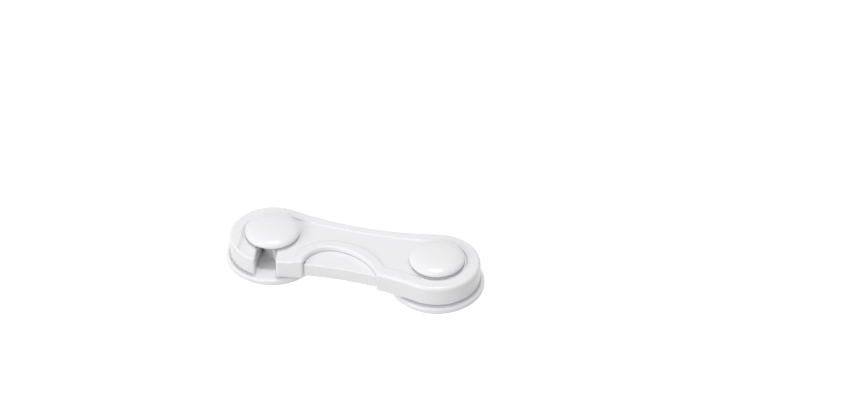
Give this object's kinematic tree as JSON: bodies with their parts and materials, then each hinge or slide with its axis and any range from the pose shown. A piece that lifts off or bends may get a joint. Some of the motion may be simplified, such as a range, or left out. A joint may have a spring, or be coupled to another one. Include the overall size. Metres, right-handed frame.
{
  "type": "cabinet safety lock",
  "caption": "White plastic child-safety lock: a waisted arm swings on an adhesive pivot stud and hooks round an adhesive catch stud, with a half-moon release pad.",
  "frame": {"origin": "middle of the pivot stud's adhesive face", "axes": "+X from the catch stud to the pivot stud, +Y away from the hook's mouth, +Z out from the furniture, along the pivot"},
  "size_m": [0.095, 0.034, 0.0142],
  "materials": {
    "arm_plastic": "white injection-moulded plastic, satin gloss with a fine moulded texture",
    "lever_plastic": "white injection-moulded plastic, satin gloss",
    "cap_plastic": "white injection-moulded plastic, polished dome",
    "stud_plastic": "white injection-moulded plastic, satin gloss",
    "washer_plastic": "natural nylon, matte",
    "foam": "white closed-cell adhesive foam, fine cells on the cut edge",
    "steel": "zinc-plated steel with fine turning marks"
  },
  "bodies": {
    "studs": {"pivot_foam_pad": "foam", "pivot_base": "stud_plastic", "pivot_cap": "cap_plastic", "pivot_screw": "steel", "thrust_washer": "washer_plastic", "catch_foam_pad": "foam", "catch_base": "stud_plastic", "catch_cap": "cap_plastic", "catch_screw": "steel"},
    "arm": {"arm_shell": "arm_plastic", "arm_cover": "arm_plastic", "cover_screws": "steel", "lever_pin": "steel", "lever_spring": "steel"},
    "lever": {"release_lever": "lever_plastic"}
  },
  "joints": [
    {"name": "arm_swing", "type": "hinge", "parent": "studs", "child": "arm", "pos_m": [0, 0, 0.007], "axis": [0, 0, 1], "range_deg": [-330, 0]},
    {"name": "lever_press", "type": "hinge", "parent": "arm", "child": "lever", "pos_m": [-0.0505, 0.008, 0.0065], "axis": [0, 0, 1], "range_deg": [0, 12], "stiffness_Nm_per_rad": 0.05, "springref_deg": -11.46, "deforming": ["lever_spring"]}
  ]
}
